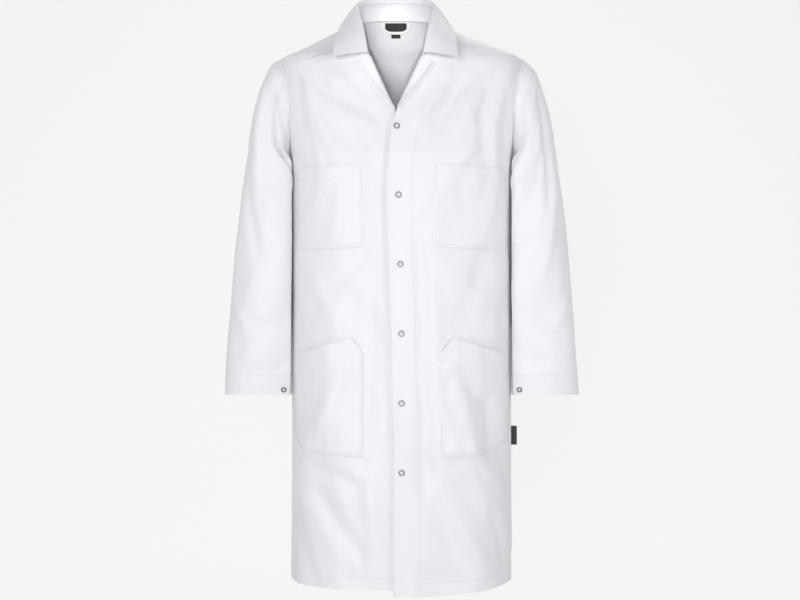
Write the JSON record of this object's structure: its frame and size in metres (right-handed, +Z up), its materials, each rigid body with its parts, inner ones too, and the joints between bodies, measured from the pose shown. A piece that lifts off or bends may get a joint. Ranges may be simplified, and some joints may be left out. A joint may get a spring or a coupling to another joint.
{
  "type": "lab coat",
  "caption": "White long-sleeved lab coat with a notched lapel collar, ring snaps down the front, chest and hip patch pockets and a hang loop.",
  "frame": {"origin": "middle of the hang loop inside the back neck, where a peg holds the coat", "axes": "+Z up, -Y out of the coat's front, +X towards the wearer's left"},
  "size_m": [0.668, 0.2903, 1.1146],
  "materials": {
    "coat_twill": "matte",
    "collar_twill": "matte",
    "loop_tape": "matte",
    "black_label": "matte",
    "snap_steel": "satin"
  },
  "bodies": {
    "coat_body": {"back_hem": "coat_twill", "back_panel": "coat_twill", "back_yoke": "coat_twill", "collar_leaf": "collar_twill", "collar_stand": "collar_twill", "hanger_loop": "loop_tape", "neck_facing": "coat_twill", "neck_label": "black_label", "side_flag_label": "black_label", "size_tab": "black_label"},
    "left_front": {"left_front_panel": "coat_twill", "left_facing": "coat_twill", "left_lapel": "collar_twill", "left_chest_pocket": "coat_twill", "left_hip_pocket": "coat_twill", "left_front_hem": "coat_twill", "snap_cap_ring_1": "snap_steel", "snap_cap_ring_2": "snap_steel", "snap_cap_ring_3": "snap_steel", "snap_cap_ring_4": "snap_steel", "snap_cap_ring_5": "snap_steel", "snap_cap_ring_6": "snap_steel", "snap_socket_1": "snap_steel", "snap_socket_2": "snap_steel", "snap_socket_3": "snap_steel", "snap_socket_4": "snap_steel", "snap_socket_5": "snap_steel", "snap_socket_6": "snap_steel"},
    "right_front": {"right_front_panel": "coat_twill", "right_facing": "coat_twill", "right_lapel": "collar_twill", "right_chest_pocket": "coat_twill", "right_hip_pocket": "coat_twill", "right_front_hem": "coat_twill", "snap_stud_1": "snap_steel", "snap_stud_2": "snap_steel", "snap_stud_3": "snap_steel", "snap_stud_4": "snap_steel", "snap_stud_5": "snap_steel", "snap_stud_6": "snap_steel", "snap_back_ring_1": "snap_steel", "snap_back_ring_2": "snap_steel", "snap_back_ring_3": "snap_steel", "snap_back_ring_4": "snap_steel", "snap_back_ring_5": "snap_steel", "snap_back_ring_6": "snap_steel"},
    "left_arm": {"left_sleeve": "coat_twill", "left_cuff_hem": "coat_twill", "left_cuff_snap_ring": "snap_steel", "left_cuff_snap_back": "snap_steel"},
    "right_arm": {"right_sleeve": "coat_twill", "right_cuff_hem": "coat_twill", "right_cuff_snap_ring": "snap_steel", "right_cuff_snap_back": "snap_steel"}
  },
  "joints": [
    {"name": "left_front_open", "type": "hinge", "parent": "coat_body", "child": "left_front", "pos_m": [0.214, -0.14, -0.591], "axis": [0, 0, 1], "range_deg": [0, 65], "deforming": ["collar_leaf"]},
    {"name": "right_front_open", "type": "hinge", "parent": "coat_body", "child": "right_front", "pos_m": [-0.192, -0.14, -0.591], "axis": [0, 0, 1], "range_deg": [-43, 0], "deforming": ["collar_leaf"]},
    {"name": "left_sleeve_raise", "type": "hinge", "parent": "coat_body", "child": "left_arm", "pos_m": [0.233, -0.06, -0.059], "axis": [0, -1, 0], "range_deg": [0, 75]},
    {"name": "right_sleeve_raise", "type": "hinge", "parent": "coat_body", "child": "right_arm", "pos_m": [-0.211, -0.06, -0.059], "axis": [0, 1, 0], "range_deg": [0, 75]}
  ],
  "couplings": [
    {"joint": "right_front_open", "follows": "left_front_open", "ratio": -0.65}
  ]
}
